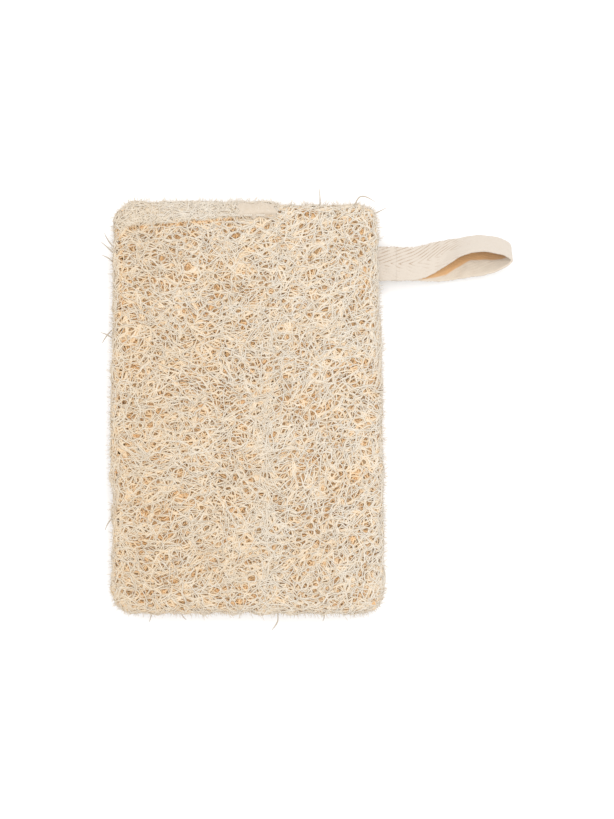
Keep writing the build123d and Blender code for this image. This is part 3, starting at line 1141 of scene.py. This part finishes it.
def tape_strip(name, runs, offset, upper_share):
    """A strip of woven tape along joined runs. Offset is the length already used before it,
    and upper_share is the part of the strip, from its start, that lies in the upper layer."""
    points, ways = join_runs(runs)
    used = np.concatenate([[0], np.cumsum(np.linalg.norm(np.diff(points, axis=0), axis=1))])
    length = used[-1]
    strip = bmesh.new()
    bmesh.ops.create_grid(
        strip, x_segments=int(length / TAPE_GRID), y_segments=int(TAPE_WIDE / TAPE_GRID), size=1)
    flat = np.array([corner.co for corner in strip.verts])
    along = (flat[:, 0] + 1) / 2 * length
    across = woven_edges(along + offset, flat[:, 1])
    middle, way, outward = tape_frame(along, used, points, ways)
    sway = 0.35 * wander(along + offset, across, 7.0, 73)
    height = weave_height(along + offset + sway, across + 0.3 * sway)
    leg_share = np.clip((middle[:, 0] - TWIST_PLACE[0] - MOVING_GAP) / LOOP_REACH, 0, 1)
    strength = rib_strength(leg_share, along + offset, across, along < length * upper_share)
    height = 1 - (1 - height) * strength
    edge = 1 - np.clip((np.abs(across) - TAPE_WIDE / 2 + EDGE_FALL) / EDGE_FALL, 0, 1) ** 2
    ripple = 0.08 * wander(along + offset, across, 5.0, 74)
    lift = TAPE_THICK / 2 - RELIEF + RELIEF * height * edge
    base = middle + way * across[:, None]
    outer_places = (base + outward * (ripple + lift)[:, None]) * MM
    inner_places = (base + outward * (ripple - lift)[:, None]) * MM
    # Painted light and shade on the inside of the low leg: a little lighter all over, warm brown in the upper
    # leg's shade.
    light_and_shade = INNER_LEG_PAINTED_LIGHT + (1 - INNER_LEG_PAINTED_LIGHT) * fold_shade_share(leg_share, across)
    inner_light_shade = light_and_shade * (along > length * upper_share)
    piece = tape_solid(name, strip, outer_places, inner_places, height, inner_light_shade)
    print(name, "length", round(length, 1), "mm,", len(piece.data.polygons), "faces")
    return piece, length


# %% [markdown]
# The cotton is unbleached, cream with a little grey. Its grooves are painted darker than its
# ribs, as painted shade for the shade they lie in, and a fine noise breaks the ribs into
# yarns. A little sheen gives the soft edge that light has on brushed cloth.

# %% The cotton finish
COTTON_STREAK_SCALE = 2600
PAINTED_LIGHT_SHADE_COLOURS = [(0.0, (0.93, 0.93, 0.94)), (0.14, (1.0, 0.97, 0.92)), (1.0, (1.0, 0.61, 0.30))]


def cotton_finish(name, groove_shade_colour, rib_colour):
    """Unbleached cotton: the weave's grooves get painted shade, the inside of the fold gets painted light and
    shade, and a fine noise breaks the ribs.
    """
    look, tree, shader = new_look(name)
    # Painted shade: the grooves of the weave are darker than its ribs.
    weave_shade = ramp_of(tree, kept_value(tree, "weave_height"), [(0.3, groove_shade_colour), (0.72, rib_colour)])
    streaks = add_streaks(tree, COTTON_STREAK_SCALE)
    by_streak = ramp_of(tree, streaks.outputs["Value"], [(0.25, (0.93, 0.90, 0.86)), (0.6, WHITE)])
    # Painted light and shade: slightly grey cream on the rest of the tape, lighter inside the low leg, warm
    # brown in its painted shade.
    painted_light_and_shade = ramp_of(tree, kept_value(tree, "inner_painted_light_shade"), PAINTED_LIGHT_SHADE_COLOURS)
    colour = multiply(tree, multiply(tree, weave_shade, by_streak), painted_light_and_shade)
    link(tree, colour, shader.inputs["Base Color"])
    add_bump(tree, streaks.outputs["Value"], 0.4)
    shader.inputs["Roughness"].default_value = 0.9
    shader.inputs["Specular IOR Level"].default_value = 0.2
    shader.inputs["Sheen Weight"].default_value = 0.2
    print("finish:", name)
    return look


# The first colour is the painted shade of the weave's grooves.
COTTON_LOOK = cotton_finish("unbleached_cotton", (0.34, 0.23, 0.15), (0.56, 0.485, 0.40))

# %% [markdown]
# The tape is one length, and it is laid as three strips: the two sewn-in ends, which run
# from the pad to the neck, and the loop, which runs from the neck round its tip and back.

# %% Lay the tape
RUN_STEPS = {"end": 40, "neck": 20, "loop": 400}
sewn_end = SWING_PLACE[0] - TAIL
upper_neck, upper_length = tape_strip(
    "tape_neck_upper", [straight_run(sewn_end, NECK_SPLIT, 1, RUN_STEPS["end"])], 0, 1)
loop_runs = [
    straight_run(NECK_SPLIT, TWIST_PLACE[0], 1, RUN_STEPS["neck"]),
    loop_run(RUN_STEPS["loop"]),
    straight_run(TWIST_PLACE[0], NECK_SPLIT, -1, RUN_STEPS["neck"]),
]
loop_piece, loop_length = tape_strip("tape_loop", loop_runs, upper_length, 0.5)
lower_neck, lower_length = tape_strip(
    "tape_neck_lower", [straight_run(NECK_SPLIT, sewn_end, -1, RUN_STEPS["end"])],
    upper_length + loop_length, 0)

# %% Give the tape its finish and hide the imported tape
for piece, length, hold in (
        (upper_neck, upper_length, "stretched"),
        (loop_piece, loop_length, "folded"),
        (lower_neck, lower_length, "stretched")):
    piece.data.materials.append(COTTON_LOOK)
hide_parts("tape_end_upper")
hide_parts("tape_end_lower")
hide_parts("hanging_loop", "loop_neck")
for piece in (upper_neck, lower_neck):
    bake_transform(piece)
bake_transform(loop_piece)
print("tape in all, mm:", round(upper_length + loop_length + lower_length, 1))

# %% [markdown]
# The threads are plain modelled cords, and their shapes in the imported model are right, so
# they stay. They are spun from cotton, a little duller than the luffa. A wave texture on
# Object coordinates gives the slant of the spun strands as colour and as fine relief.

# %% The thread finish
THREAD_NODES = ("hem_stitches", "seam_thread", "tape_bartacks")
STRAND_SCALE = 900
thread_look, thread_tree, thread_shader = new_look("spun_thread")
thread_place = thread_tree.nodes.new("ShaderNodeTexCoord")
strands = thread_tree.nodes.new("ShaderNodeTexWave")
strands.bands_direction = "DIAGONAL"
strands.inputs["Scale"].default_value = STRAND_SCALE
strands.inputs["Distortion"].default_value = 2.0
link(thread_tree, thread_place.outputs["Object"], strands.inputs["Vector"])
STRAND_COLOURS = [(0.1, (0.42, 0.34, 0.25)), (0.7, (0.58, 0.51, 0.42))]
strand_colour = ramp_of(thread_tree, strands.outputs["Fac"], STRAND_COLOURS)
link(thread_tree, strand_colour, thread_shader.inputs["Base Color"])
add_bump(thread_tree, strands.outputs["Fac"], 0.4)
thread_shader.inputs["Roughness"].default_value = 0.85
for node in THREAD_NODES:
    for slot in bpy.data.objects[node].material_slots:
        slot.material = thread_look
    print(node, "is in spun thread")
